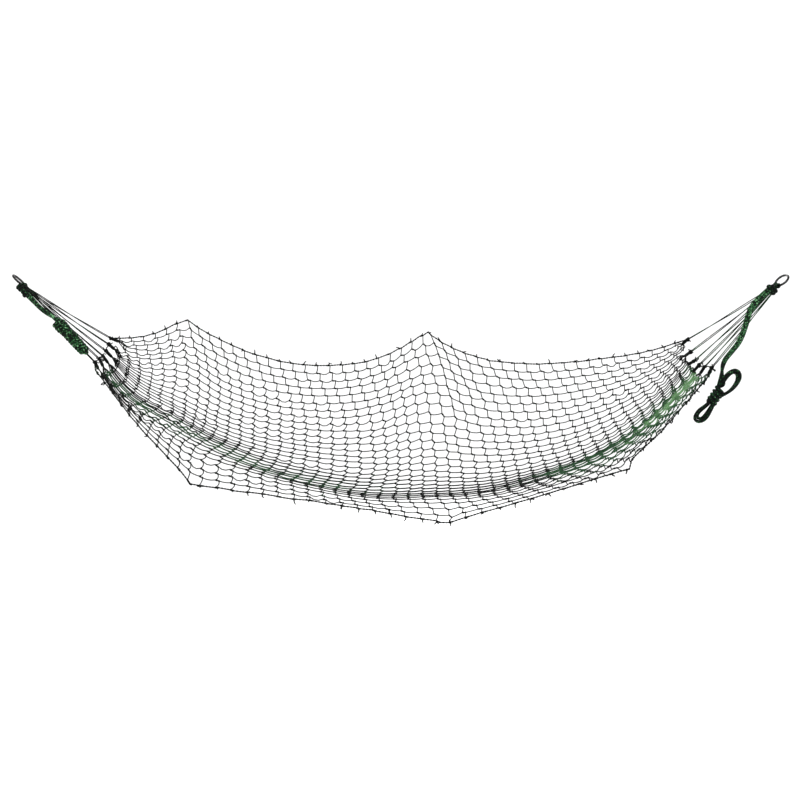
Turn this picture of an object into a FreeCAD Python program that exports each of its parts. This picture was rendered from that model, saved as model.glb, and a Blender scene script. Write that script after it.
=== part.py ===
"""Camouflage string hammock: a knotted net bed slung between two steel rings, with two hanging ropes.

Frame: origin at the centre of the left ring's eye, +X along the hammock to the right ring,
+Y to the high rear edge of the bed, +Z up. Lengths are in millimetres.
"""

import FreeCAD, Part
import math
import os

V = FreeCAD.Vector

# Rings: bent steel wire, welded shut.
SPAN = 2290.0  # between the centres of the two ring eyes
RING_R = 21.0  # to the middle of the wire
WIRE_R = 3.5
RING_PULL_DEG = 45.0  # how steeply the clew lines pull each ring down
RIGHT_RING_TURN_DEG = 20.0  # the right ring is turned about the pull of its lines

# Hitches: the balls of loops that hold the clew lines on the wire.
HITCH_R = 10.0
WIRE_PLAY = 0.4
SWING_GAP = 1.2  # from the hitch to the first point of each clew line

# Clew lines: six pairs of string at each end.
CLEWS = 6
STRING_R = 1.25
LOOP_PITCH = 3.0  # between neighbouring loops along the wire
PAIR_GAP = 1.6  # half the distance between the two strings of a pair
END_KNOT_R = 5.0
KNOT_PLAY = 0.6  # from the end of a string to the surface of its end knot

# Net bed and the cords along its two long edges.
BED_T = 5.0
BORDER_W = 6.0
BORDER_T = 6.0
BORDER_GAP = 1.0
END_GAP = 2.5  # from the bed's end to the surface of an end knot
FIRST_KNOT, LAST_KNOT = 0.06, 0.94  # where the end knots sit across the bed's end
GRID_ALONG, GRID_ACROSS = 41, 15

# Cross-sections of the bed from left to right: x at the rear edge, x at the front edge,
# and seven (y, z) points from the rear edge, down the back, over the floor to the front edge.
SECTIONS = [
    (262, 237, [(75, -172), (50, -190), (25, -212), (2, -230), (-22, -240), (-44, -247), (-66, -255)]),
    (330, 325, [(135, -167), (126, -230), (95, -284), (43, -320), (-18, -337), (-80, -349), (-118, -354)]),
    (455, 445, [(208, -112), (207, -250), (178, -355), (75, -397), (-35, -412), (-140, -440), (-200, -469)]),
    (590, 570, [(222, -188), (210, -320), (131, -410), (19, -458), (-102, -471), (-214, -512), (-235, -585)]),
    (735, 735, [(222, -239), (209, -361), (135, -454), (32, -514), (-84, -545), (-202, -564), (-262, -604)]),
    (890, 890, [(222, -259), (189, -374), (122, -474), (24, -545), (-89, -587), (-210, -599), (-278, -624)]),
    (1060, 1060, [(226, -238), (186, -361), (131, -478), (39, -571), (-81, -620), (-212, -629), (-288, -648)]),
    (1232, 1262, [(232, -148), (229, -315), (194, -470), (88, -582), (-61, -625), (-216, -633), (-298, -683)]),
    (1380, 1400, [(225, -226), (210, -362), (160, -489), (63, -585), (-72, -616), (-210, -625), (-290, -648)]),
    (1550, 1560, [(222, -252), (211, -379), (157, -494), (54, -564), (-73, -580), (-200, -586), (-275, -602)]),
    (1735, 1760, [(212, -243), (197, -358), (141, -451), (44, -505), (-68, -512), (-180, -521), (-245, -544)]),
    (1870, 1890, [(178, -224), (164, -310), (120, -384), (41, -423), (-47, -426), (-136, -429), (-188, -435)]),
    (1960, 1985, [(132, -203), (131, -262), (103, -312), (44, -340), (-20, -343), (-78, -344), (-115, -352)]),
    (2024, 2074, [(75, -172), (50, -208), (26, -240), (2, -257), (-22, -264), (-44, -266), (-66, -267)]),
]

# Ropes: one is knotted under each ring, and made up in a hank.
ROPE_R = 5.0
ROPE_KNOT_R = 9.0
ROPE_PLAY = 0.4  # from a rope's knot to the first point of its lead
LEFT_KNOT = V(26, -21, -38)
LEFT_LEAD = [V(50, -33, -58), V(84, -47, -90), V(114.5, -54.2, -108.4), V(127, -57, -121)]
LEFT_HANK_END = V(226, -79, -221)
LEFT_HANK_SIZE = (37.0, 33.0)  # across the hank, seen from the front and from above
HANK_ROUND = 14.0
RIGHT_KNOT = V(2250, -22, -24)
RIGHT_LEAD = [
    V(2198, -50, -62),
    V(2174, -62, -93),
    V(2160, -74, -136),
    V(2139, -88, -184),
    V(2109, -100, -216),
    V(2084, -111, -243),
    V(2075, -118, -269),
]
# Outline of the right hank, (x, z) clockwise from the throat: the ear loop, then the lower loops.
RIGHT_HANK = [
    (2066, -273), (2086, -273), (2110, -252), (2134, -262), (2144, -288), (2132, -320),
    (2092, -346), (2056, -378), (2054, -404), (2030, -426), (1994, -420), (1996, -390),
    (2036, -352), (2056, -330),
]
RIGHT_HANK_Y, RIGHT_HANK_T = -118.0, 30.0
CLOSE = 1e-6


def unit(vector):
    """The same direction with length 1."""
    return V(vector).normalize()


def save(name, shape):
    """One named piece of the hammock, checked before it is written."""
    assert shape.isValid() and shape.Volume > 0, name
    shape.exportStep(f"parts/{name}.step")
    print(f"{name}: {shape.Volume:.0f} mm3, {len(shape.Solids)} solid")


# Rings and hitches.


def pull_direction(side):
    """The way the clew lines pull a ring: down and towards the middle of the hammock."""
    tilt = math.radians(RING_PULL_DEG)
    return V(side * math.cos(tilt), 0, -math.sin(tilt))


def wire_direction(side):
    """The wire's direction where the clew lines hold it."""
    turn = math.radians(RIGHT_RING_TURN_DEG) if side < 0 else 0.0
    pull = pull_direction(side)
    across = V(0, 1, 0).cross(pull)
    return V(0, math.cos(turn), 0) + across * math.sin(turn)


def eye_centre(side):
    """The centre of the ring: side is +1 at the left end, where lines run to +X, and -1 at the right."""
    return V(0, 0, 0) if side > 0 else V(SPAN, 0, 0)


def hitch_centre(side):
    return eye_centre(side) + pull_direction(side) * RING_R


def ring(side):
    normal = pull_direction(side).cross(wire_direction(side))
    return Part.makeTorus(RING_R, WIRE_R, eye_centre(side), normal)


def hitch(side):
    """A ball of loops on the wire, with a trumpet-shaped hole in which the ring can tilt."""
    half = HITCH_R + 1
    clear = RING_R - WIRE_R - WIRE_PLAY
    throat = RING_R - clear
    mouth = RING_R - math.sqrt(clear**2 - half**2)
    edge = Part.Arc(V(mouth, 0, -half), V(throat, 0, 0), V(mouth, 0, half)).toShape()
    outline = [V(mouth, 0, half), V(0, 0, half), V(0, 0, -half), V(mouth, 0, -half)]
    sides = [Part.makeLine(a, b) for a, b in zip(outline, outline[1:])]
    hole = Part.Face(Part.Wire([edge] + sides)).revolve(V(0, 0, 0), V(0, 0, 1), 360)
    turn = FreeCAD.Rotation(V(0, 0, 1), wire_direction(side))
    hole.Placement = FreeCAD.Placement(hitch_centre(side), turn)
    return Part.makeSphere(HITCH_R, hitch_centre(side)).cut(hole)


# The bed: one smooth surface, and slabs that follow stretches of it.


def bed_surface():
    """The middle surface of the net: lengthwise curves through all its cross-sections, then one skin."""
    rows = []
    for x_rear, x_front, points in SECTIONS:
        last = len(points) - 1
        share = [(k / last) ** 2 for k in range(len(points))]
        rows.append([V(x_rear + (x_front - x_rear) * s, y, z) for s, (y, z) in zip(share, points)])
    columns = []
    for line in zip(*rows):
        curve = Part.BSplineCurve()
        curve.interpolate(list(line))
        first, end = curve.FirstParameter, curve.LastParameter
        steps = [first + (end - first) * i / (GRID_ALONG - 1) for i in range(GRID_ALONG)]
        columns.append([curve.value(t) for t in steps])
    surface = Part.BSplineSurface()
    surface.interpolate([list(row) for row in zip(*columns)])
    return surface


BED = bed_surface()


def at(u, v):
    """A point of the bed: u is 0 at the left end, v is 0 at the rear edge, and both reach 1."""
    u0, u1, v0, v1 = BED.bounds()
    return BED.value(u0 + (u1 - u0) * u, v0 + (v1 - v0) * v)


def normal_at(u, v):
    u0, u1, v0, v1 = BED.bounds()
    return BED.normal(u0 + (u1 - u0) * u, v0 + (v1 - v0) * v)


def slope_across(u, v):
    """Millimetres of cloth for each unit of v."""
    step = 0.001
    a, b = max(0.0, v - step), min(1.0, v + step)
    return (at(u, b) - at(u, a)).Length / (b - a)


def slab(v_from, v_to, thickness, across):
    """A closed slab along the whole bed, between the edges v_from(u) and v_to(u)."""
    grids = {1: [], -1: []}
    for i in range(GRID_ALONG):
        u = i / (GRID_ALONG - 1)
        start, end = v_from(u), v_to(u)
        stations = [start + (end - start) * k / (across - 1) for k in range(across)]
        for sign, grid in grids.items():
            grid.append([at(u, v) + normal_at(u, v) * (sign * thickness / 2) for v in stations])
    skins = []
    for grid in grids.values():
        skin = Part.BSplineSurface()
        skin.interpolate(grid)
        skins.append(skin)
    faces = [skin.toShape() for skin in skins]
    edges = []
    for skin in skins:
        u0, u1, v0, v1 = skin.bounds()
        edges.append([skin.uIso(u0), skin.uIso(u1), skin.vIso(v0), skin.vIso(v1)])
    faces += [Part.makeRuledSurface(a.toShape(), b.toShape()) for a, b in zip(*edges)]
    shell = Part.makeShell(faces)
    shell.sewShape()
    solid = Part.makeSolid(shell)
    if solid.Volume < 0:
        solid.reverse()
    return solid


def border_share(u, v):
    """How much of v the border cord and its gap take up at this place."""
    return (BORDER_W + BORDER_GAP) / slope_across(u, v)


def net_bed():
    return slab(lambda u: border_share(u, 0.0), lambda u: 1 - border_share(u, 1.0), BED_T, GRID_ACROSS)


def rear_border():
    return slab(lambda u: 0.0, lambda u: BORDER_W / slope_across(u, 0.0), BORDER_T, 2)


def front_border():
    return slab(lambda u: 1 - BORDER_W / slope_across(u, 1.0), lambda u: 1.0, BORDER_T, 2)


# End knots and clew lines.


def end_knot_centre(side, k):
    """The knot that gathers one group of rows, just past the bed's end."""
    v = FIRST_KNOT + (LAST_KNOT - FIRST_KNOT) * k / (CLEWS - 1)
    u, inside = (0.0, 0.02) if side > 0 else (1.0, 0.98)
    away = unit(at(u, v) - at(inside, v))
    return at(u, v) + away * (END_KNOT_R + END_GAP)


def clew_start(side, k, pair):
    """Where one string leaves the hitch: loops sit side by side along the wire."""
    along_wire = (CLEWS - 1) / 2 - k
    radius = HITCH_R + SWING_GAP
    sideways = wire_direction(side) * (along_wire * LOOP_PITCH)
    upwards = pull_direction(side).cross(wire_direction(side)) * (pair * PAIR_GAP)
    reach = math.sqrt(radius**2 - sideways.Length**2 - upwards.Length**2)
    return hitch_centre(side) + pull_direction(side) * reach + sideways + upwards


def clew(side, k):
    """The pair of straight strings from the hitch to one end knot."""
    strings = []
    knot = end_knot_centre(side, k)
    lift = pull_direction(side).cross(wire_direction(side)) * PAIR_GAP
    for pair in (1, -1):
        start = clew_start(side, k, pair)
        towards = unit(knot - start)
        end = knot + lift * pair - towards * (END_KNOT_R + KNOT_PLAY)
        strings.append(Part.makeCylinder(STRING_R, (end - start).Length, start, end - start))
    return Part.makeCompound(strings)


# Ropes.


def tube(points, radius):
    """A rope along straight runs joined by arcs, each as large as its two runs allow."""
    edges, last = [], points[0]
    for a, b, c in zip(points, points[1:], points[2:]):
        before, after = unit(b - a), unit(c - b)
        half_turn = before.getAngle(after) / 2
        cut = 0.45 * min((b - a).Length, (c - b).Length)
        bend = cut / math.tan(half_turn)
        middle = b + unit(after - before) * (bend / math.cos(half_turn) - bend)
        start, end = b - before * cut, b + after * cut
        edges.append(Part.LineSegment(last, start).toShape())
        edges.append(Part.Arc(start, middle, end).toShape())
        last = end
        print(f"  bend radius {bend:.0f} mm")
    edges.append(Part.LineSegment(last, points[-1]).toShape())
    path = Part.Wire(edges)
    section = Part.Wire([Part.Circle(points[0], points[1] - points[0], radius).toShape()])
    solid = path.makePipeShell([section], True, False)
    expected = math.pi * radius**2 * path.Length
    print(f"  length {path.Length:.0f} mm, volume is {solid.Volume / expected:.4f} of section by length")
    return solid


def from_knot(knot, points):
    """The route of a lead: it starts on the surface of its knot."""
    return [knot + unit(points[0] - knot) * (ROPE_KNOT_R + ROPE_PLAY)] + points


def left_hank():
    """A folded bundle that lies along the clew lines: a block with rounded long edges."""
    start = LEFT_LEAD[-1]
    along = LEFT_HANK_END - start
    wide, deep = LEFT_HANK_SIZE
    block = Part.makeBox(wide, deep, along.Length, V(-wide / 2, -deep / 2, 0))
    long_edges = [e for e in block.Edges if abs(e.Length - along.Length) < CLOSE]
    block = block.makeFillet(HANK_ROUND, long_edges)
    up = unit(along)
    face = unit(V(0, -1, 0) - up * up.dot(V(0, -1, 0)))
    turn = FreeCAD.Rotation(face.cross(up) * -1, face, up)
    block.Placement = FreeCAD.Placement(start, turn)
    return block


def right_hank():
    """A slab of loops that hangs from the end of its lead."""
    corners = [V(x, RIGHT_HANK_Y - RIGHT_HANK_T / 2, z) for x, z in RIGHT_HANK]
    outline = Part.makePolygon(corners + corners[:1])
    return Part.Face(outline).extrude(V(0, RIGHT_HANK_T, 0))


def main():
    os.makedirs("parts", exist_ok=True)
    save("net_bed", net_bed())
    save("rear_border_cord", rear_border())
    save("front_border_cord", front_border())
    for end, side in (("left", 1), ("right", -1)):
        save(f"{end}_ring", ring(side))
        save(f"{end}_ring_hitch", hitch(side))
        for k in range(CLEWS):
            save(f"{end}_clew_{k + 1}", clew(side, k))
            save(f"{end}_end_knot_{k + 1}", Part.makeSphere(END_KNOT_R, end_knot_centre(side, k)))
    save("left_rope_knot", Part.makeSphere(ROPE_KNOT_R, LEFT_KNOT))
    save("left_rope_lead", tube(from_knot(LEFT_KNOT, LEFT_LEAD), ROPE_R))
    save("left_rope_hank", left_hank())
    save("right_rope_knot", Part.makeSphere(ROPE_KNOT_R, RIGHT_KNOT))
    save("right_rope_lead", tube(from_knot(RIGHT_KNOT, RIGHT_LEAD), ROPE_R))
    save("right_rope_hank", right_hank())


main()
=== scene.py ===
"""Looks of the camouflage string hammock: its net, cords, knots, rings and two made-up ropes.

Every piece is in metres, in the CAD model's frame: origin at the left ring's eye, +X to the right
ring, +Y to the high rear edge of the bed, +Z up.
"""

import math

import bpy
import numpy as np
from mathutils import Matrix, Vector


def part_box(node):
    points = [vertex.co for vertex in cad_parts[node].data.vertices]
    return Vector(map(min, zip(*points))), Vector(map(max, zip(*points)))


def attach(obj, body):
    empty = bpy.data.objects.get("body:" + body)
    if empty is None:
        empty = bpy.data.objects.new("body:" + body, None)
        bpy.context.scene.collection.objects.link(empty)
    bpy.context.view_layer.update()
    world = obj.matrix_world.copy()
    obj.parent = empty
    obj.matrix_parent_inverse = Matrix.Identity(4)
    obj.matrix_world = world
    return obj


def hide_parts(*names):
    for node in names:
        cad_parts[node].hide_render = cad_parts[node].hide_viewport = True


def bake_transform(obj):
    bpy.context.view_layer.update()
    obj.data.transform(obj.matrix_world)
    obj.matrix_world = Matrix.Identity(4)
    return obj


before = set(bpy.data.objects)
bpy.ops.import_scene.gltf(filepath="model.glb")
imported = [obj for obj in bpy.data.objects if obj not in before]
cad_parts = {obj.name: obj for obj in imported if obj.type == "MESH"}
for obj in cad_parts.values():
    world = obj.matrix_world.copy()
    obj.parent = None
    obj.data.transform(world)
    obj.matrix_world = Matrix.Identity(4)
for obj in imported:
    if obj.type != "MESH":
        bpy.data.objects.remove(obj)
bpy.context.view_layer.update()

MM = 0.001

# String and rope, as radii.
STRING_R = 1.65 * MM
ROPE_R = 4.6 * MM

# The net: rows run from end to end, and each row has knots a stitch apart.
ROWS, STITCHES = 29, 48
LINK, ROW_STRAND, CROSS_STRAND = 0.012, 0.033, 0.024
STITCH = LINK + ROW_STRAND
# How far each row's links lie to the right of those in the row before.
DRIFT = np.interp(np.arange(ROWS), (0, 6, 13, 21, 25), (0.011, 0.007, 0.0, -0.005, 0.009))
OFFSET = np.concatenate([[0.0], np.cumsum(DRIFT)[:-1]]) % STITCH
SEED = 7
CLEWS, ROWS_PER_CLEW = 6, 5  # clew lines at each end, each with its end knot and its rows
MID_CLEW = (CLEWS - 1) / 2

# The bed's cross-sections from left to right, as in the CAD model, in mm: x at the rear edge, x at
# the front edge, and (y, z) from the rear edge, down the back, over the floor to the front edge.
SECTIONS = [
    (262, 237,
     [(75, -172), (50, -190), (25, -212), (2, -230), (-22, -240), (-44, -247), (-66, -255)]),
    (330, 325,
     [(135, -167), (126, -230), (95, -284), (43, -320), (-18, -337), (-80, -349), (-118, -354)]),
    (455, 445,
     [(208, -112), (207, -250), (178, -355), (75, -397), (-35, -412), (-140, -440), (-200, -469)]),
    (590, 570,
     [(222, -188), (210, -320), (131, -410), (19, -458), (-102, -471), (-214, -512), (-235, -585)]),
    (735, 735,
     [(222, -239), (209, -361), (135, -454), (32, -514), (-84, -545), (-202, -564), (-262, -604)]),
    (890, 890,
     [(222, -259), (189, -374), (122, -474), (24, -545), (-89, -587), (-210, -599), (-278, -624)]),
    (1060, 1060,
     [(226, -238), (186, -361), (131, -478), (39, -571), (-81, -620), (-212, -629), (-288, -648)]),
    (1232, 1262,
     [(232, -148), (229, -315), (194, -470), (88, -582), (-61, -625), (-216, -633), (-298, -683)]),
    (1380, 1400,
     [(225, -226), (210, -362), (160, -489), (63, -585), (-72, -616), (-210, -625), (-290, -648)]),
    (1550, 1560,
     [(222, -252), (211, -379), (157, -494), (54, -564), (-73, -580), (-200, -586), (-275, -602)]),
    (1735, 1760,
     [(212, -243), (197, -358), (141, -451), (44, -505), (-68, -512), (-180, -521), (-245, -544)]),
    (1870, 1890,
     [(178, -224), (164, -310), (120, -384), (41, -423), (-47, -426), (-136, -429), (-188, -435)]),
    (1960, 1985,
     [(132, -203), (131, -262), (103, -312), (44, -340), (-20, -343), (-78, -344), (-115, -352)]),
    (2024, 2074,
     [(75, -172), (50, -208), (26, -240), (2, -257), (-22, -264), (-44, -266), (-66, -267)]),
]
# The sections at which a thread pulls an edge of the net out to a point, and the points.
REAR_PEAKS = {2: (0.464, 0.215, -0.114), 7: (1.234, 0.235, -0.149)}
FRONT_PEAKS = {3: (0.554, -0.235, -0.584), 7: (1.276, -0.298, -0.684), 10: (1.790, -0.235, -0.541)}


def unit(v):
    v = np.asarray(v, float)
    return v / np.linalg.norm(v, axis=-1, keepdims=True)


def middle(node):
    """The centre of a CAD node's box."""
    low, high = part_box(node)
    return (np.array(low) + np.array(high)) / 2


# Camera, light and stage.

FOCAL_PX, PICTURE_PX, SENSOR_MM = 1070.0, 800.0, 36.0
CAMERA_DOWN_DEG, CAMERA_AWAY = 3.0, 3.2
LOOK_AT = (1.144, -0.030, -0.358)


def add_camera():
    data = bpy.data.cameras.new("camera")
    data.lens, data.sensor_width = SENSOR_MM * FOCAL_PX / PICTURE_PX, SENSOR_MM
    camera = bpy.data.objects.new("camera", data)
    down = math.radians(CAMERA_DOWN_DEG)
    x, y, z = LOOK_AT
    camera.location = (x, y - CAMERA_AWAY * math.cos(down), z + CAMERA_AWAY * math.sin(down))
    camera.rotation_euler = (math.radians(90.0) - down, 0.0, 0.0)
    bpy.context.scene.collection.objects.link(camera)
    bpy.context.scene.camera = camera


def add_light(name, place, towards, size, power):
    data = bpy.data.lights.new(name, "AREA")
    data.shape, data.size, data.energy = "SQUARE", size, power
    lamp = bpy.data.objects.new(name, data)
    lamp.location = place
    aim = unit(np.subtract(towards, place))
    pitch, yaw = math.acos(-aim[2]), math.atan2(aim[0], -aim[1])
    lamp.rotation_euler = (pitch, 0.0, math.pi + yaw)
    bpy.context.scene.collection.objects.link(lamp)


def add_stage():
    """A pale floor under the hammock that curves up into walls all round."""
    half, floor_z, corner, top = 7.0, -1.25, 1.6, 4.0
    profile = [(0.0, floor_z), (half - corner, floor_z)]
    profile += [
        (half - corner + corner * math.sin(a), floor_z + corner - corner * math.cos(a))
        for a in np.linspace(0.2, math.pi / 2, 7)
    ]
    profile.append((half, top))
    turns = 48
    points, faces = [], []
    for r, z in profile:
        for i in range(turns):
            a = 2 * math.pi * i / turns
            points.append((LOOK_AT[0] + r * math.cos(a), r * math.sin(a), z))
    for k in range(len(profile) - 1):
        for i in range(turns):
            n = (i + 1) % turns
            faces.append((k * turns + i, k * turns + n, (k + 1) * turns + n, (k + 1) * turns + i))
    mesh = bpy.data.meshes.new("stage")
    mesh.from_pydata(points, [], faces)
    mesh.polygons.foreach_set("use_smooth", np.ones(len(faces), bool))
    mesh.materials.append(stage_material())
    stage = bpy.data.objects.new("stage", mesh)
    bpy.context.scene.collection.objects.link(stage)


def add_lights():
    x, y, z = LOOK_AT
    add_light("key", (x - 1.6, y - 2.6, z + 3.0), LOOK_AT, 2.4, 120)
    add_light("fill", (x + 2.6, y - 2.4, z + 1.4), LOOK_AT, 2.4, 45)
    add_light("rear", (x + 0.4, y + 2.8, z + 2.6), LOOK_AT, 2.4, 90)
    world = bpy.data.worlds.new("studio")
    world.use_nodes = True
    world.node_tree.nodes["Background"].inputs["Color"].default_value = (1, 1, 1, 1)
    world.node_tree.nodes["Background"].inputs["Strength"].default_value = 1.0
    bpy.context.scene.world = world
    bpy.context.scene.view_settings.view_transform = "Standard"


# Materials.

LAY = "lay"  # UV map of every string: u is the share of a turn round it, v the metres along it
DYE = "dye"  # attribute of every string: 0 is black and 1 is the palest green
STRING_GLOSS = 0.06
BRAID_PITCH = 0.0115


class Shading:
    """A material with a Principled shader, and short ways to add and join nodes."""

    def __init__(self, name, specular=0.5, **constants):
        self.material = bpy.data.materials.new(name)
        self.material.use_nodes = True
        self.nodes, self.links = self.material.node_tree.nodes, self.material.node_tree.links
        self.shader = self.nodes["Principled BSDF"]
        for key, value in constants.items():
            self.shader.inputs[key.replace("_", " ")].default_value = value
        self.shader.inputs["Specular IOR Level"].default_value = specular

    def put(self, socket, value):
        if isinstance(value, bpy.types.NodeSocket):
            self.links.new(value, socket)
        else:
            socket.default_value = value

    def node(self, kind, inputs=(), **settings):
        node = self.nodes.new("ShaderNode" + kind)
        for key, value in settings.items():
            setattr(node, key, value)
        for key, value in dict(inputs).items():
            self.put(node.inputs[key], value)
        return node

    def math(self, operation, a, b=0.0):
        return self.node("Math", {0: a, 1: b}, operation=operation).outputs[0]

    def noise(self, place, scale, detail=3.0, roughness=0.55):
        inputs = {"Vector": place, "Scale": scale, "Detail": detail, "Roughness": roughness}
        return self.node("TexNoise", inputs).outputs["Fac"]

    def ramp(self, value, *stops):
        """A colour for each value: stops are (place, colour)."""
        node = self.node("ValToRGB", {"Fac": value})
        elements = node.color_ramp.elements
        while len(elements) < len(stops):
            elements.new(0.5)
        for element, (place, colour) in zip(elements, stops):
            element.position, element.color = place, (*colour, 1.0)
        return node.outputs["Color"]

    def shaded(self, colour, shade):
        """A colour multiplied by a shade."""
        inputs = {0: 1.0, 6: colour, 7: shade}
        return self.node("Mix", inputs, data_type="RGBA", blend_type="MULTIPLY").outputs[2]

    def spread(self, value, low, high, to_low, to_high):
        """The value's range from low to high, stretched to another range."""
        ends = {"From Min": low, "From Max": high, "To Min": to_low, "To Max": to_high}
        return self.node("MapRange", {"Value": value, **ends}).outputs["Result"]

    def place(self):
        """Where a point of the piece is, in metres."""
        return self.node("TexCoord").outputs["Object"]

    def lay(self):
        """The two numbers of the string's own map: turns round it and metres along it."""
        found = self.node("SeparateXYZ", {0: self.node("UVMap", uv_map=LAY).outputs["UV"]})
        return found.outputs["X"], found.outputs["Y"]

    def bump(self, height, strength, distance):
        inputs = {"Height": height, "Strength": strength, "Distance": distance}
        self.put(self.shader.inputs["Normal"], self.node("Bump", inputs).outputs["Normal"])


def twist(shading, strands, pitch):
    """Ridges of twisted strands: 0 in the grooves and 1 on the ridges."""
    around, along = shading.lay()
    turns = shading.math("MULTIPLY", around, strands)
    turns = shading.math("ADD", turns, shading.math("DIVIDE", along, pitch))
    return shading.math("ABSOLUTE", shading.math("SINE", shading.math("MULTIPLY", turns, math.pi)))


def string_material(name, dark, green, light, pitch):
    """Twisted string, black or green, dyed in stretches, with painted shade in the grooves between
    its strands.
    """
    s = Shading(name, specular=STRING_GLOSS)
    place = s.place()
    fleck = s.noise(place, 260.0, 2.0)
    stretch = s.math("MULTIPLY", s.math("SUBTRACT", s.noise(place, 22.0, 3.0), 0.5), 1.1)
    grain = s.math("MULTIPLY", s.math("SUBTRACT", fleck, 0.5), 0.5)
    dye = s.node("Attribute", attribute_name=DYE).outputs["Fac"]
    dyed = s.math("ADD", dye, s.math("ADD", stretch, grain))
    colour = s.ramp(dyed, (0.18, dark), (0.42, green), (0.72, green), (1.0, light))
    ridge = twist(s, 3, pitch)
    # Painted shade: the colour is darkened in the grooves between the twisted strands and full on
    # their ridges.
    colour = s.shaded(colour, s.spread(ridge, 0.0, 0.7, 0.35, 1.0))
    s.put(s.shader.inputs["Base Color"], colour)
    s.put(s.shader.inputs["Roughness"], s.spread(fleck, 0.3, 0.7, 0.6, 0.85))
    s.bump(ridge, 0.6, 0.0005)
    return s.material


def braided_material(name, dark, green, light):
    """Braided rope of black and green yarns, in a diamond braid with a few pale picks."""
    s = Shading(name, specular=STRING_GLOSS)
    around, along = s.lay()
    place = s.place()
    waves = []
    for sign in ("ADD", "SUBTRACT"):
        phase = s.math(sign, s.math("DIVIDE", along, BRAID_PITCH), s.math("MULTIPLY", around, 3.0))
        waves.append(s.math("SINE", s.math("MULTIPLY", phase, 2 * math.pi)))
    crossing = s.math("MULTIPLY", *waves)
    yarn = s.math("SUBTRACT", s.noise(place, 230.0, 1.0), 0.5)
    blotch = s.math("SUBTRACT", s.noise(place, 70.0, 2.0), 0.5)
    dye = s.node("Attribute", attribute_name=DYE).outputs["Fac"]
    uneven = s.math("ADD", s.math("MULTIPLY", yarn, 2.6), s.math("MULTIPLY", blotch, 1.0))
    picked = s.math("ADD", s.math("ADD", dye, s.math("MULTIPLY", crossing, 0.2)), uneven)
    colour = s.ramp(picked, (0.36, dark), (0.48, green), (0.62, green), (0.90, light))
    s.put(s.shader.inputs["Base Color"], colour)
    s.put(s.shader.inputs["Roughness"], s.spread(yarn, -0.2, 0.2, 0.65, 0.9))
    height = s.math("ADD", s.math("ABSOLUTE", crossing), s.math("MULTIPLY", yarn, 0.8))
    s.bump(height, 0.9, 0.0014)
    return s.material


def steel_material():
    """Dark plated steel wire, with bright worn spots."""
    s = Shading("ring_steel", Metallic=1.0)
    place = s.place()
    worn = s.noise(place, 160.0, 4.0)
    stained = s.noise(place, 45.0, 3.0)
    dark, grey, bright = (0.012, 0.012, 0.012), (0.05, 0.05, 0.05), (0.35, 0.35, 0.34)
    colour = s.ramp(stained, (0.40, dark), (0.58, grey), (0.72, bright))
    s.put(s.shader.inputs["Base Color"], colour)
    s.put(s.shader.inputs["Roughness"], s.spread(worn, 0.3, 0.7, 0.22, 0.5))
    s.bump(worn, 0.25, 0.0003)
    return s.material


def stage_material():
    s = Shading("stage_paper", Roughness=0.9)
    tone = s.noise(s.place(), 0.6, 2.0)
    colour = s.ramp(tone, (0.3, (0.93, 0.93, 0.93)), (0.7, (0.96, 0.96, 0.96)))
    s.put(s.shader.inputs["Base Color"], colour)
    return s.material


# Strings: many closed tubes in one mesh.


def across(lines):
    """Two unit vectors across lines at each of their points, carried along them without twist."""
    along = unit(np.gradient(lines, axis=-2))
    sideways, guess = np.empty_like(lines), np.cross(along[..., 0, :], unit((0.2, 0.9, 0.4)))
    for i in range(lines.shape[-2]):
        direction = along[..., i, :]
        guess = unit(guess - direction * (guess * direction).sum(-1, keepdims=True))
        sideways[..., i, :] = guess
    return sideways, np.cross(along, sideways)


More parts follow.
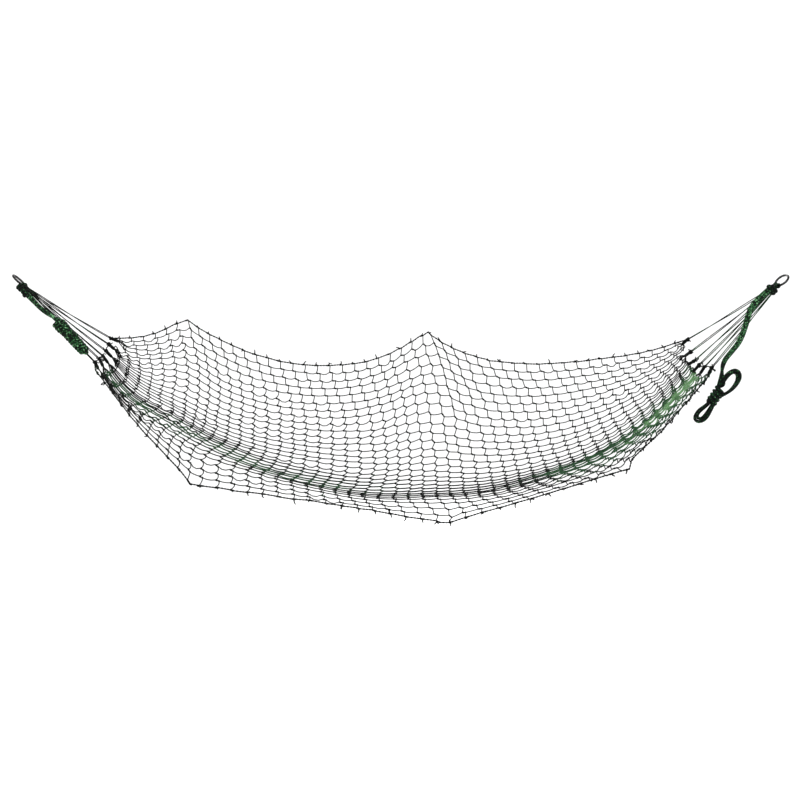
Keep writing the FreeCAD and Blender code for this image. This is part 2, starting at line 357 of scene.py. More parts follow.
class Strings:
    """Closed tubes with a UV map that runs round and along each of them."""

    def __init__(self):
        self.points, self.faces, self.uvs, self.dyes, self.count = [], [], [], [], 0

    def add(self, lines, radius, sides, turn=0.0, pinch=0.0, dye=0.0):
        """Tubes along lines, an array of N lines of K points.

        turn is each ring's angle, pinch makes it oval, and dye is how green it is.
        """
        lines = np.asarray(lines, float)
        if lines.ndim == 2:
            lines = lines[None]
        n, k = lines.shape[:2]
        sideways, upwards = across(lines)
        share = np.arange(sides) / sides
        angle = 2 * math.pi * share[None, None] + np.broadcast_to(turn, (n, k))[..., None]
        oval = 1 + pinch * np.cos(4 * math.pi * share)
        size = np.broadcast_to(radius, (n, k))[..., None] * oval
        ring = np.cos(angle)[..., None] * sideways[:, :, None]
        ring = ring + np.sin(angle)[..., None] * upwards[:, :, None]
        points = lines[:, :, None] + ring * size[..., None]
        first = self.count + np.arange(n)[:, None, None] * k * sides
        rows, cols = np.arange(k - 1)[None, :, None] * sides, np.arange(sides)[None, None]
        following = (cols + 1) % sides
        quads = np.stack(
            [first + rows + cols, first + rows + following, first + rows + sides + following,
             first + rows + sides + cols], axis=-1
        )
        steps = np.linalg.norm(np.diff(lines, axis=1), axis=-1)
        length = np.concatenate([np.zeros((n, 1)), np.cumsum(steps, axis=1)], axis=1)
        u0 = np.broadcast_to(share, (n, k - 1, sides))
        v0 = np.broadcast_to(length[:, :-1, None], (n, k - 1, sides))
        v1 = np.broadcast_to(length[:, 1:, None], (n, k - 1, sides))
        u1 = u0 + 1 / sides
        uv = np.stack([np.stack(c, -1) for c in ((u0, v0), (u1, v0), (u1, v1), (u0, v1))], axis=-2)
        self.faces.append(quads.reshape(-1, 4))
        self.uvs.append(uv.reshape(-1, 2))
        starts = first[:, 0] + np.arange(sides)[::-1]
        ends = first[:, 0] + (k - 1) * sides + np.arange(sides)
        for caps, at in ((starts, length[:, :1]), (ends, length[:, -1:])):
            self.faces.append(caps)
            cap_uv = np.stack([np.zeros((n, sides)), np.broadcast_to(at, (n, sides))], -1)
            self.uvs.append(cap_uv.reshape(-1, 2))
        self.dyes.append(np.repeat(np.broadcast_to(dye, (n, k)), sides))
        self.points.append(points.reshape(-1, 3))
        self.count += n * k * sides

    def build(self, name, material):
        mesh = bpy.data.meshes.new(name)
        points = np.concatenate(self.points)
        mesh.vertices.add(len(points))
        mesh.vertices.foreach_set("co", points.astype(np.float32).ravel())
        corners = np.concatenate([f.ravel() for f in self.faces])
        sizes = np.concatenate([np.full(len(f), f.shape[1]) for f in self.faces])
        mesh.loops.add(len(corners))
        mesh.loops.foreach_set("vertex_index", corners.astype(np.int32))
        mesh.polygons.add(len(sizes))
        mesh.polygons.foreach_set("loop_start", np.r_[0, np.cumsum(sizes)[:-1]].astype(np.int32))
        mesh.polygons.foreach_set("use_smooth", np.ones(len(sizes), bool))
        mesh.update(calc_edges=True)
        layer = mesh.uv_layers.new(name=LAY)
        layer.uv.foreach_set("vector", np.concatenate(self.uvs).astype(np.float32).ravel())
        dye = mesh.attributes.new(DYE, "FLOAT", "POINT")
        dye.data.foreach_set("value", np.concatenate(self.dyes).astype(np.float32))
        mesh.materials.append(material)
        piece = bpy.data.objects.new(name, mesh)
        bpy.context.scene.collection.objects.link(piece)
        return piece


def curve_line(points, step):
    """Points a step apart on the smooth NURBS curve that has these control points."""
    curve = bpy.data.curves.new("route", "CURVE")
    curve.dimensions, curve.resolution_u = "3D", 12
    spline = curve.splines.new("NURBS")
    spline.points.add(len(points) - 1)
    for target, p in zip(spline.points, points):
        target.co = (*p, 1.0)
    spline.order_u = 3
    spline.use_endpoint_u = True
    holder = bpy.data.objects.new("route", curve)
    bpy.context.scene.collection.objects.link(holder)
    bpy.context.view_layer.update()
    shaped = holder.evaluated_get(bpy.context.evaluated_depsgraph_get())
    mesh = bpy.data.meshes.new_from_object(shaped)
    line = np.array([v.co for v in mesh.vertices], float)
    bpy.data.meshes.remove(mesh)
    bpy.data.objects.remove(holder)
    bpy.data.curves.remove(curve)
    return even(line, step)


def even(line, step):
    """The same line with its points a step apart."""
    line = np.asarray(line, float)
    length = np.r_[0, np.cumsum(np.linalg.norm(np.diff(line, axis=0), axis=1))]
    places = np.linspace(0, length[-1], max(2, round(length[-1] / step) + 1))
    return np.stack([np.interp(places, length, line[:, c]) for c in range(3)], axis=-1)


def wound(line, radius, pitch, start_turn=0.0):
    """A helix of that radius round a line."""
    a, b = across(line)
    length = np.r_[0, np.cumsum(np.linalg.norm(np.diff(line, axis=0), axis=1))]
    angle = 2 * math.pi * (length / pitch + start_turn)
    return line + radius * (np.cos(angle)[:, None] * a + np.sin(angle)[:, None] * b)


# The net.


def smooth(points, share, peaks=(), sharp=0.0):
    """Places at shares of a curve through points, and its length.

    sharp, up to 1, folds it at the peaks.
    """
    points = np.asarray(points, float)
    t = np.r_[0, np.cumsum(np.linalg.norm(np.diff(points, axis=0), axis=1))]
    slope = np.diff(points, axis=0) / np.diff(t)[:, None]
    before = np.gradient(points, t, axis=0)
    after = before.copy()
    for p in peaks:
        soft = before[p] * (1 - sharp)
        before[p] = soft + (1.5 * slope[p - 1] - 0.5 * before[p - 1]) * sharp
        after[p] = soft + (1.5 * slope[p] - 0.5 * before[p + 1]) * sharp
    s = np.linspace(0, t[-1], 600)
    k = np.clip(np.searchsorted(t, s, side="right") - 1, 0, len(t) - 2)
    h, x = (t[k + 1] - t[k])[:, None], ((s - t[k]) / (t[k + 1] - t[k]))[:, None]
    line = (
        (2 * x**3 - 3 * x**2 + 1) * points[k]
        + (x**3 - 2 * x**2 + x) * h * after[k]
        + (3 * x**2 - 2 * x**3) * points[k + 1]
        + (x**3 - x**2) * h * before[k + 1]
    )
    length = np.r_[0, np.cumsum(np.linalg.norm(np.diff(line, axis=0), axis=1))]
    places = np.asarray(share) * length[-1]
    return np.stack([np.interp(places, length, line[:, c]) for c in range(3)], axis=-1), length[-1]


def start_net():
    """Where the two ends of every knotted link would be on the plain bed, and each row's length."""
    columns = []
    for x_rear, x_front, outline in SECTIONS:
        last = len(outline) - 1
        x_at = [x_rear + (x_front - x_rear) * (k / last) ** 2 for k in range(last + 1)]
        line = [(x, *yz) for x, yz in zip(x_at, outline)]
        columns.append(smooth(np.array(line) * MM, np.linspace(0, 1, ROWS))[0])
    columns = np.array(columns)
    a, b, lengths = np.empty((STITCHES, ROWS, 3)), np.empty((STITCHES, ROWS, 3)), np.empty(ROWS)
    for row in range(ROWS):
        start = (np.arange(STITCHES) + 0.25) * STITCH + OFFSET[row]
        rear, front = math.exp(-((row / 5) ** 2)), math.exp(-(((ROWS - 1 - row) / 4) ** 2))
        peaks, sharp = (REAR_PEAKS, rear) if rear > front else (FRONT_PEAKS, front)
        share = np.clip(np.r_[start, start + LINK] / ((STITCHES + 0.5) * STITCH), 0, 1)
        places, lengths[row] = smooth(columns[:, row], share, peaks, sharp)
        a[:, row], b[:, row] = places[:STITCHES], places[STITCHES:]
    return a, b, lengths


def cross_pairs():
    """The cross strands: each runs from the end of a link to the start of one in the next row."""
    pairs = []
    for row in range(ROWS - 1):
        step = round((OFFSET[row] + DRIFT[row] - OFFSET[row + 1]) / STITCH)
        for i in range(max(0, -step), min(STITCHES, STITCHES - step)):
            pairs.append((i * ROWS + row, (i + step) * ROWS + row + 1))
    return np.array(pairs).T


def pull(p, q, length, slack=False):
    """How two points move so that they are a length apart, or no further where there is slack."""
    gap = q - p
    far = np.linalg.norm(gap, axis=-1, keepdims=True)
    share = (far - length[..., None]) / np.maximum(far, 1e-9)
    if slack:
        share = np.maximum(share, 0)
    move = gap * share / 2
    return move, -move


class Net:
    """The net bed's links and strands at rest, found by letting its strings pull on each other."""

    ROUNDS = 1500
    HOLD, EDGE_HOLD = 0.006, (0.02, 0.012, 0.008)  # how firmly a row keeps to the bed's shape
    STRAND_SINK, LINK_SINK = 0.00002, 0.00001
    END_REACH = 0.045  # from the last link of a row to its end knot
    EASE = 1.01  # a row's string is a little longer than its way
    LINK_UNEVEN, ROW_UNEVEN, CROSS_UNEVEN, PLACE_UNEVEN = 0.12, 0.10, 0.06, 1 * MM

    def __init__(self):
        random = np.random.default_rng(SEED)
        self.a, self.b, lengths = start_net()
        self.down, self.up = cross_pairs()
        self.end_knots = {
            end: np.array([middle(f"{end}_end_knot_{k + 1}") for k in range(CLEWS)])
            for end in ("left", "right")
        }
        self.group = np.minimum(np.arange(ROWS) // ROWS_PER_CLEW, CLEWS - 1)
        self.row_mid = (self.b[:-1] + self.a[1:]) / 2
        a, b = self.a.reshape(-1, 3), self.b.reshape(-1, 3)
        self.cross_mid = (b[self.down] + a[self.up]) / 2

        def uneven(shape, spread):
            return 1 + spread * random.standard_normal(shape).clip(-1.5, 1.5)

        ease = np.clip(lengths / (STITCHES * STITCH) * self.EASE, 0.9, 1.03)
        self.link = LINK * ease * uneven(self.a.shape[:2], self.LINK_UNEVEN)
        self.row = ROW_STRAND / 2 * ease * uneven(self.row_mid.shape[:2], self.ROW_UNEVEN)
        self.cross = CROSS_STRAND / 2 * uneven(len(self.down), self.CROSS_UNEVEN)
        for edge in (0, -1):
            self.link[:, edge] = LINK * ease[edge] / self.EASE
            self.row[:, edge] = ROW_STRAND / 2 * ease[edge] / self.EASE
        self.settle(random)

    def settle(self, random):
        hold = np.full(ROWS, self.HOLD)
        for i, firm in enumerate(self.EDGE_HOLD):
            hold[i] = hold[-1 - i] = firm
        hold = hold[None, :, None]
        kept_a = self.a + random.standard_normal(self.a.shape) * self.PLACE_UNEVEN
        kept_b = self.b + random.standard_normal(self.b.shape) * self.PLACE_UNEVEN
        pins = [(0, p) for p in REAR_PEAKS.values()] + [(ROWS - 1, p) for p in FRONT_PEAKS.values()]
        pinned = []
        for row, p in pins:
            far_a, far_b = (np.linalg.norm(kept[:, row] - p, axis=-1) for kept in (kept_a, kept_b))
            nearer = (self.a, far_a) if far_a.min() < far_b.min() else (self.b, far_b)
            pinned.append((nearer[0], nearer[1].argmin(), row, p))
        for _ in range(self.ROUNDS):
            self.a += (kept_a - self.a) * hold
            self.b += (kept_b - self.b) * hold
            self.a[..., 2] -= self.LINK_SINK
            self.b[..., 2] -= self.LINK_SINK
            self.row_mid[..., 2] -= self.STRAND_SINK
            self.cross_mid[:, 2] -= self.STRAND_SINK
            for ends, i, row, p in pinned:
                ends[i, row] = p
            self.draw_together()

    def draw_together(self):
        to_a, to_b = pull(self.a, self.b, self.link)
        self.a += to_a
        self.b += to_b
        to_b, to_mid = pull(self.b[:-1], self.row_mid, self.row, True)
        self.b[:-1] += to_b
        self.row_mid += to_mid
        to_mid, to_a = pull(self.row_mid, self.a[1:], self.row, True)
        self.row_mid += to_mid
        self.a[1:] += to_a
        a, b = self.a.reshape(-1, 3), self.b.reshape(-1, 3)
        to_b, to_mid = pull(b[self.down], self.cross_mid, self.cross, True)
        b[self.down] += to_b
        self.cross_mid += to_mid
        to_mid, to_a = pull(self.cross_mid, a[self.up], self.cross, True)
        self.cross_mid += to_mid
        a[self.up] += to_a
        reach = np.full(ROWS, self.END_REACH)
        for last, end in ((self.a[0], "left"), (self.b[-1], "right")):
            last += 2 * pull(last, self.end_knots[end][self.group], reach, True)[0]


def bowed(start, mid, end, rings):
    """Lines of that many points that bow from start to end through mid."""
    t = np.linspace(0, 1, rings)[None, :, None]
    control = (2 * mid - (start + end) / 2)[:, None]
    return (1 - t) ** 2 * start[:, None] + 2 * t * (1 - t) * control + t**2 * end[:, None]


# How green the net is, and over how many rows, by x; and how small its links are near the ends.
GREENEST_ROW = 20.5
GREEN_BY_X = (0.2, 0.9, 1.2, 1.5, 1.75, 2.0), (0.45, 0.35, 0.0, 0.2, 0.65, 1.05)
GREEN_ROWS_BY_X = (0.3, 1.5, 1.75, 2.0), (3.0, 3.0, 4.5, 6.5)
LINK_SIZE_BY_X = (0.30, 0.46, 1.88, 2.02), (0.62, 1.0, 1.0, 0.62)
FOLD_ROW, FOLD_SPREAD, FOLD_THICKER = 19.5, 3.0, 0.4  # the strings are thicker along the fold
# A link's rings: their places as shares of it, and their radii.
LINK_RINGS = np.array([-0.12, 0.05, 0.35, 0.65, 0.95, 1.12])
LINK_RADII = np.array([1.2, 2.7, 2.5, 2.5, 2.7, 1.2]) * MM
LINK_TURN, LINK_PINCH = 2.2 * math.pi, 0.22


def greenness(lines, row):
    """How green the net's strings are: most along the bottom of the bed, and at its right end."""
    x = lines[..., 0].mean(axis=-1)
    away = (row - GREENEST_ROW) / np.interp(x, *GREEN_ROWS_BY_X)
    return np.interp(x, *GREEN_BY_X) * np.exp(-(away**2))


def net_bed(net, material):
    """All knotted links and strands between the two border cords."""
    strings = Strings()
    a, b = net.a.reshape(-1, 3), net.b.reshape(-1, 3)
    rows = np.tile(np.arange(ROWS), STITCHES)

    def add(lines, radius, sides, row, **options):
        strings.add(lines, radius, sides, dye=greenness(lines, row)[:, None], **options)

    share = LINK_RINGS[None, :, None]
    links = a[:, None] * (1 - share) + b[:, None] * share
    sizes = LINK_RADII * np.interp(a[:, 0], *LINK_SIZE_BY_X)[:, None]
    turns = np.linspace(0, LINK_TURN, len(LINK_RINGS))
    add(links, sizes, 6, rows, turn=turns, pinch=LINK_PINCH)
    start, mid, end = (x[:, 1:-1].reshape(-1, 3) for x in (net.b[:-1], net.row_mid, net.a[1:]))
    inner = np.tile(np.arange(1, ROWS - 1), STITCHES - 1)
    thicker = FOLD_THICKER * np.exp(-(((inner - FOLD_ROW) / FOLD_SPREAD) ** 2))
    add(bowed(start, mid, end, 4), STRING_R * (1 + thicker)[:, None], 5, inner)
    add(bowed(b[net.down], net.cross_mid, a[net.up], 4), STRING_R, 5, rows[net.down] + 0.5)
    return strings.build("net_strings", material)


def border_line(net, row):
    """The line of a border cord through an edge row's places, from end knot to end knot."""
    places = [net.end_knots["left"][net.group[row]]]
    for i in range(STITCHES):
        places += [net.a[i, row], net.b[i, row]]
    places.append(net.end_knots["right"][net.group[row]])
    return even(places, 3 * MM)


BORDER_WIND, BORDER_PITCH = 1.1 * MM, 18 * MM
WHIPPING_WIND, WHIPPING_PITCH, WHIPPING_HALF = 2.0 * MM, 3.4 * MM, 5 * MM


def cut_end(start, lean, bend, reach, straight):
    """The line of a cut end that leans one way and then bends towards another."""
    return [start, start + lean * reach * straight, start + (lean + bend) / 2 * reach * 1.1]


def border_cord(net, row, name, outwards, material):
    """Two strings twisted together along an edge row, with one or two cut ends at each knot."""
    random = np.random.default_rng(SEED + row)
    strings = Strings()
    line = border_line(net, row)
    for start_turn in (0.0, 0.5):
        strings.add(wound(line, BORDER_WIND, BORDER_PITCH, start_turn), STRING_R * 0.85, 5)
    for i in range(STITCHES):
        knot = (net.a[i, row] + net.b[i, row]) / 2
        for _ in range(1 + (random.random() < 0.4)):
            lean = unit(outwards + 0.8 * random.standard_normal(3))
            reach = (6 + 9 * random.random()) * MM
            bend = unit(lean + 0.6 * random.standard_normal(3))
            tapered = [STRING_R * 1.5, STRING_R * 1.2, STRING_R * 0.9]
            strings.add(cut_end(knot, lean, bend, reach, 0.55), tapered, 5)
        half = unit(net.b[i, row] - net.a[i, row]) * WHIPPING_HALF
        whipped = even([knot - half, knot + half], 1.2 * MM)
        strings.add(wound(whipped, WHIPPING_WIND, WHIPPING_PITCH), STRING_R, 5)
    return strings.build(name, material)


GATHER = 26 * MM  # the bundle in front of each end knot
BUNDLE_WIND, BUNDLE_PITCH = 2.1 * MM, 40 * MM
BINDING_WIND, BINDING_PITCH = 3.6 * MM, 2.5 * MM
END_KNOT_SIZES, END_KNOT_STRING_R = (5.4 * MM, 4.0 * MM), 2.4 * MM


def gathers(net, end, material):
    """The rows of each group run together into a bound bundle that ends in its knot."""
    strings = Strings()
    last = net.a[0] if end == "left" else net.b[-1]
    for k, knot in enumerate(net.end_knots[end]):
        rows = np.where(net.group == k)[0]
        inwards = unit(last[rows].mean(axis=0) - knot)
        throat = knot + inwards * GATHER
        axis = even([throat, knot], GATHER / 8)
        for n, row in enumerate(rows):
            bundle = wound(axis, BUNDLE_WIND, BUNDLE_PITCH, n / len(rows))
            mid = (last[row] + bundle[0]) / 2 - inwards * 2 * MM
            lead_in = bowed(last[row][None], mid[None], bundle[:1], 4)[0]
            strings.add(np.concatenate([lead_in[:-1], bundle]), STRING_R, 5)
        bound = even([throat - inwards * 3 * MM, knot + inwards * 4 * MM], 0.24 * MM)
        strings.add(wound(bound, BINDING_WIND, BINDING_PITCH), STRING_R * 0.95, 5)
    return strings.build(f"{end}_net_gathers", material)


def knot_line(centre, size, axes):
    """A closed overhand knot of that size."""
    t = np.linspace(0, 2 * math.pi, 49)
    local = [np.sin(t) + 2 * np.sin(2 * t), np.cos(t) - 2 * np.cos(2 * t), -1.1 * np.sin(3 * t)]
    local = np.stack(local, axis=-1)
    return centre + local * size / 3 @ np.array(axes)


def end_knot(net, end, k, material):
    """Two overhand knots drawn together in the gathered strings, with cut ends."""
    random = np.random.default_rng(SEED + 31 * k + (end == "left"))
    centre = net.end_knots[end][k]
    strings = Strings()
    for size in END_KNOT_SIZES:
        axes = np.linalg.qr(random.standard_normal((3, 3)))[0]
        strings.add(knot_line(centre, size, axes), END_KNOT_STRING_R, 6)
    for _ in range(3):
        lean = unit(random.standard_normal(3) + (0, 0, 0.3))
        bend = unit(lean + 0.7 * random.standard_normal(3))
        reach = (9 + 7 * random.random()) * MM
        strings.add(cut_end(centre, lean, bend, reach, 0.6), STRING_R * 1.1, 5)
    return strings.build(f"{end}_end_knot_{k + 1}_string", material)


# The rings' ends: hitches, clew lines and the necks that the ropes are tied round.

PULL_DEG, RIGHT_TURN_DEG = 45.0, 20.0
RING_R, WIRE_R = 21.0 * MM, 3.5 * MM
LOOP_PITCH, PAIR_GAP = 3.0 * MM, 1.6 * MM
COLLAR_TURNS, COLLAR_PITCH, COLLAR_START = 3, 2.4 * MM, 8 * MM
COLLAR_WIDE, COLLAR_DEEP = 9.5 * MM, 4.6 * MM
# The rope's knot, and the two turns beside it round the neck of the clew lines.
ROPE_KNOT_SIZE, NECK_TURN_ASIDE = 10.5 * MM, 4.3 * MM
NECK_TURN_WIDE, NECK_TURN_DEEP = 13 * MM, 9 * MM


class RingEnd:
    """Directions at a ring: the pull of its lines, the wire that they hold, and across both."""

    def __init__(self, end):
        side, turn = (1, 0.0) if end == "left" else (-1, math.radians(RIGHT_TURN_DEG))
        tilt = math.radians(PULL_DEG)
        self.eye = middle(f"{end}_ring")
        self.pull = np.array([side * math.cos(tilt), 0.0, -math.sin(tilt)])
        level, sloped = np.array([0.0, 1.0, 0.0]), np.cross((0, 1, 0), self.pull)
        self.wire = level * math.cos(turn) + sloped * math.sin(turn)
        self.across = np.cross(self.pull, self.wire)
        self.hitch = self.eye + self.pull * RING_R

    def line_start(self, k):
        """Where clew line k leaves its loops, just outside the wire."""
        aside = self.wire * (MID_CLEW - k) * LOOP_PITCH
        return self.hitch + aside + self.pull * (WIRE_R + 2.5 * STRING_R)


def hitch(end, material):
    """Lark's heads of the clew lines, side by side on the wire, and the collar that binds them."""
    ring, strings = RingEnd(end), Strings()
    random = np.random.default_rng(SEED + (end == "left"))
    for k in range(CLEWS):
        for half in (-0.8, 0.8):
            aside = (MID_CLEW - k) * LOOP_PITCH + half * MM
            centre = ring.hitch + ring.wire * aside
            radius = WIRE_R + STRING_R + aside**2 / (2 * RING_R) + 0.3 * MM * random.random()
            angle = np.linspace(0, 2 * math.pi, 15)
            turn = np.outer(np.cos(angle), ring.pull) + np.outer(np.sin(angle), ring.across)
            skew = np.outer(np.sin(angle + random.random()), ring.wire) * 0.5 * MM
            strings.add(centre + turn * radius + skew, STRING_R, 6, dye=0.22)
        bar, half_bar = ring.line_start(k), ring.wire * 1.6 * MM
        for face in (1, -1):
            bend = bar + ring.across * face * 1.5 * MM + ring.pull * MM
            strings.add([bar + half_bar, bend, bar - half_bar], STRING_R, 6)
    angle = np.linspace(0, 2 * math.pi * COLLAR_TURNS, 60)
    collar = (
        ring.hitch
        + np.outer(np.cos(angle), ring.wire) * COLLAR_WIDE
        + np.outer(np.sin(angle), ring.across) * COLLAR_DEEP
        + np.outer(COLLAR_START + angle / (2 * math.pi) * COLLAR_PITCH, ring.pull)
    )
    strings.add(collar, STRING_R, 6)
    return strings.build(f"{end}_hitch_loops", material)


def clew(net, end, k, material):
    """One clew line: a string that runs from its end knot through the ring and back."""
    ring, strings = RingEnd(end), Strings()
    knot = net.end_knots[end][k]
    start = ring.line_start(k)
    t = np.linspace(0, 1, 20)[:, None]
    line = start * (1 - t) + knot * t
    line[:, 2] -= 2.5 * MM * np.sin(math.pi * t[:, 0])
    for face in (1, -1):
        angle = 0.9 * math.pi * t[:, 0] * (1 if k % 2 else -1)
        gap = PAIR_GAP * (0.9 + 0.9 * np.sin(math.pi * t[:, 0]))
        offset = np.outer(np.cos(angle) * gap, ring.across)
        offset += np.outer(np.sin(angle) * gap, ring.wire)
        dye = 0.1 if end == "left" else 0.3
        strings.add(line + face * offset, STRING_R * 0.9, 6, dye=dye)
    return strings.build(f"{end}_clew_line_{k + 1}", material)


def rope_knot(end, material):
    """The rope's knot, and its turn round the neck of the clew lines."""
    ring, strings = RingEnd(end), Strings()
    centre = middle(f"{end}_rope_knot")
    axes = (ring.across, ring.pull, ring.wire)
    strings.add(knot_line(centre, ROPE_KNOT_SIZE, axes), ROPE_R, 10)
    neck = ring.hitch + ring.pull * (centre - ring.hitch) @ ring.pull
    for n in range(2):
        angle = np.linspace(0, 2 * math.pi, 33)
        loop = (
            neck
            + ring.pull * (2 * n - 1) * NECK_TURN_ASIDE
            + np.outer(np.cos(angle), ring.across) * NECK_TURN_DEEP
            + np.outer(np.sin(angle), (0, 1, 0)) * NECK_TURN_WIDE
        )
        strings.add(loop, ROPE_R, 10)
    return strings.build(f"{end}_rope_tie", material)


# Ropes.

SIDES = 12
ROPE_STEP = 2.5 * MM
LEFT_LEAD = np.array(
    [(50, -33, -58), (84, -47, -90), (114.5, -54.2, -108.4), (127, -57, -121)]
) * MM
LEFT_HANK_END = np.array([226, -79, -221]) * MM
RIGHT_LEAD = np.array(
    [(2198, -50, -62), (2174, -62, -93), (2160, -74, -136), (2139, -88, -184), (2109, -100, -216),
     (2084, -111, -243), (2075, -118, -269)]
) * MM
LEFT_WRAPS, RIGHT_WRAPS, RIGHT_WRAP_R, WRAP_STEPS = 13, 4, 13.4 * MM, 12
LEFT_WRAPS_FROM, LEFT_WRAPS_TO = 0.92, 0.05  # shares of the hank's length
# Radius of the left hank's wraps in mm, by share of its length from the free end.
LEFT_HANK_SHAPE = (0, 0.12, 0.68, 0.80, 0.93, 1), (11.5, 13.4, 13.4, 17.0, 17.0, 12)
# The strands inside it: how far along it they are bent, and each one's place across it in mm.
LEFT_STATIONS = np.array([0.06, 0.28, 0.5, 0.72, 0.96])
LEFT_STRANDS = [(4.62, 4.41), (-4.62, 4.41), (-4.62, -4.41), (4.62, -4.41)]
STRAND_GAP = 4.4 * MM  # half the distance between the two strands of a doubled lead


def beside(points, side, turn_from, turn_to):
    """The points moved to one side of the line that they make, turning about it on the way."""
    points = np.asarray(points, float)
    along = unit(np.gradient(points, axis=0))
    flat = unit(np.cross(along, (0, 1, 0)))
    deep = np.cross(along, flat)
    angle = np.radians(np.linspace(turn_from, turn_to, len(points)))[:, None]
    return points + side * STRAND_GAP * (np.cos(angle) * flat + np.sin(angle) * deep)


def left_rope_route():
    """Down the lead, four times along the hank, wound round it back to its top, up the lead."""
    knot = middle("left_rope_knot")
    start = LEFT_LEAD[-1]
    along = unit(LEFT_HANK_END - start)
    face = unit(np.array([0, -1, 0]) + along * along[1])
    side = np.cross(face, along)
    long = np.linalg.norm(LEFT_HANK_END - start)

    def place(s, a, b):
        return start + along * s + (side * a + face * b) * MM

    lead = np.concatenate([[knot], LEFT_LEAD[:-1]])
    route = list(beside(lead, 1, 20, 60))
    stations = LEFT_STATIONS * long
    for n, (a, b) in enumerate(LEFT_STRANDS):
        for s in stations if n % 2 == 0 else stations[::-1]:
            route.append(place(s, a, b))
    random = np.random.default_rng(SEED)
    count = LEFT_WRAPS * WRAP_STEPS
    coarse = np.arange(0, count, 7)
    uneven = np.interp(np.arange(count), coarse, random.standard_normal(len(coarse)))
    first, last = LEFT_WRAPS_FROM * long, LEFT_WRAPS_TO * long
    for i in range(count + 1):
        share = i / count
        angle = 2 * math.pi * i / WRAP_STEPS + 0.6
        rough = uneven[min(i, len(uneven) - 1)]
        bulge = np.interp(share, *LEFT_HANK_SHAPE) + 0.6 * rough
        tilt = (3.0 + 1.5 * rough) * MM * math.cos(angle + 0.8)
        s = first + (last - first) * share + tilt
        route.append(place(s, bulge * math.cos(angle), bulge * math.sin(angle)))
    route += list(beside(lead, -1, 20, 60)[::-1])
    return route


# The right hank's rope, as (x, y, z) in mm: two lower loops, two ears and the way back up.
RIGHT_FIRST_LOOP = [
    (2073, -122, -290), (2067, -124, -312), (2059, -124, -334), (2048, -122, -354),
    (2032, -117, -370), (2014, -113, -383), (2004, -112, -399), (2003, -114, -411),
    (2013, -117, -418), (2028, -120, -413), (2039, -123, -400), (2048, -124, -380),
    (2059, -125, -358),
]
RIGHT_FIRST_EAR = [
    (2070, -126, -343), (2087, -126, -335), (2105, -125, -325), (2121, -123, -309),
    (2132, -121, -290), (2131, -119, -274), (2119, -119, -265), (2104, -121, -269),
    (2090, -122, -280), (2080, -120, -298),
]
RIGHT_SECOND_LOOP = [
    (2072, -115, -318), (2062, -113, -340), (2050, -112, -358), (2036, -108, -373),
    (2021, -105, -386), (2012, -105, -398), (2014, -107, -408), (2025, -110, -408),
    (2036, -113, -394), (2051, -114, -370),
]
RIGHT_SECOND_EAR = [
    (2066, -117, -348), (2084, -118, -339), (2101, -117, -329), (2116, -115, -313),
    (2126, -113, -293), (2125, -112, -278), (2116, -112, -272), (2105, -113, -277),
    (2094, -112, -289), (2084, -112, -304),
]
RIGHT_RETURN = [(2087, -117, -312), (2082, -121, -292), (2078, -122, -276)]
RIGHT_WRAP_TOP = np.array([2075, -118, -322]) * MM
RIGHT_WRAP_END = np.array([2048, -117, -362]) * MM


def right_rope_route():
    """Down the lead, round both loops and both ears, wound round the waist, and up the lead."""
    knot = middle("right_rope_knot")
    lead = np.concatenate([[knot], RIGHT_LEAD[:-1]])
    route = list(beside(lead, 1, 10, 70))
    for part in (RIGHT_FIRST_LOOP, RIGHT_FIRST_EAR, RIGHT_SECOND_LOOP, RIGHT_SECOND_EAR):
        route += list(np.array(part) * MM)
    axis = unit(RIGHT_WRAP_END - RIGHT_WRAP_TOP)
    side = unit(np.cross(axis, (0, 1, 0)))
    face = np.cross(side, axis)
    count = RIGHT_WRAPS * WRAP_STEPS
    for i in range(count + 1):
        share = 1 - i / count
        angle = -2 * math.pi * i / WRAP_STEPS + 2.4
        centre = RIGHT_WRAP_TOP * (1 - share) + RIGHT_WRAP_END * share
        route.append(centre + (side * math.cos(angle) + face * math.sin(angle)) * RIGHT_WRAP_R)
    route += list(np.array(RIGHT_RETURN) * MM)
    route += list(beside(lead, -1, 10, 70)[::-1])
    return route


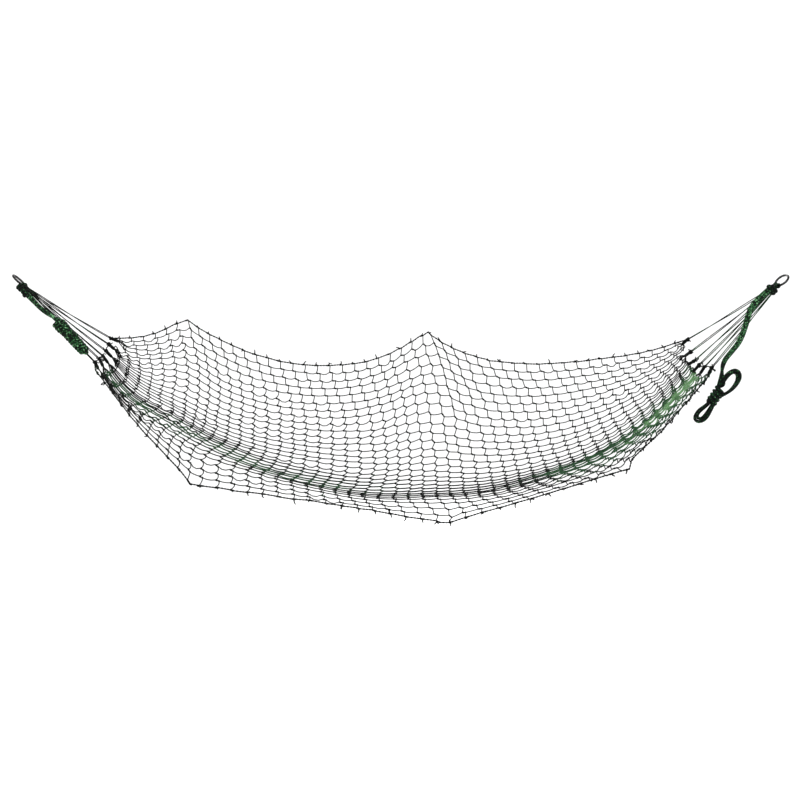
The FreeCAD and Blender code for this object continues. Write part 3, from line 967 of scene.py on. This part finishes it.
def rope(name, route, heights, dyes, material):
    """A rope along its route, with its dyes at those heights, and the line that it follows."""
    line = curve_line(route, ROPE_STEP)
    strings = Strings()
    strings.add(line, ROPE_R, SIDES, dye=np.interp(line[:, 2], heights, dyes))
    return strings.build(name, material), line


# Everything together.

add_camera()
add_stage()
add_lights()

BLACK, GREEN, PALE_GREEN = (0.0035, 0.0045, 0.0040), (0.020, 0.060, 0.026), (0.13, 0.27, 0.12)
ROPE_GREEN, ROPE_PALE = (0.012, 0.075, 0.022), (0.17, 0.36, 0.18)
net_material = string_material("net_string", BLACK, GREEN, PALE_GREEN, 5 * MM)
rope_material = braided_material("rope", BLACK, ROPE_GREEN, ROPE_PALE)
steel = steel_material()

for ring_name in ("left_ring", "right_ring"):
    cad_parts[ring_name].data.materials.clear()
    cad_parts[ring_name].data.materials.append(steel)

net = Net()
bed = net_bed(net, net_material)
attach(bed, "hammock")
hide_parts("net_bed")
for row, edge, outwards in ((0, "rear", (0, 0.5, 1)), (ROWS - 1, "front", (0, -0.6, -1))):
    cord = border_cord(net, row, f"{edge}_border", np.array(outwards), net_material)
    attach(cord, "hammock")
    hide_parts(f"{edge}_border_cord")

for end in ("left", "right"):
    gathered = gathers(net, end, net_material)
    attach(gathered, "hammock")
    loops = hitch(end, net_material)
    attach(loops, f"{end}_hitch")
    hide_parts(f"{end}_ring_hitch")
    for k in range(CLEWS):
        knot = end_knot(net, end, k, net_material)
        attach(knot, "hammock")
        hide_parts(f"{end}_end_knot_{k + 1}")
        string = clew(net, end, k, net_material)
        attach(string, "hammock")
        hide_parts(f"{end}_clew_{k + 1}")

left_tie = rope_knot("left", rope_material)
right_tie = rope_knot("right", rope_material)
for end, tie in (("left", left_tie), ("right", right_tie)):
    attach(tie, "hammock")
    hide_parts(f"{end}_rope_knot")

left_rope, left_line = rope(
    "left_rope_cord", left_rope_route(), (-0.13, -0.09), (0.30, 0.32), rope_material
)
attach(left_rope, "left_rope")
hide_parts("left_rope_lead", "left_rope_hank")

right_rope, right_line = rope(
    "right_rope_cord", right_rope_route(), (-0.29, -0.20), (0.05, 0.40), rope_material
)
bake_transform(right_rope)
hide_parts("right_rope_lead", "right_rope_hank")
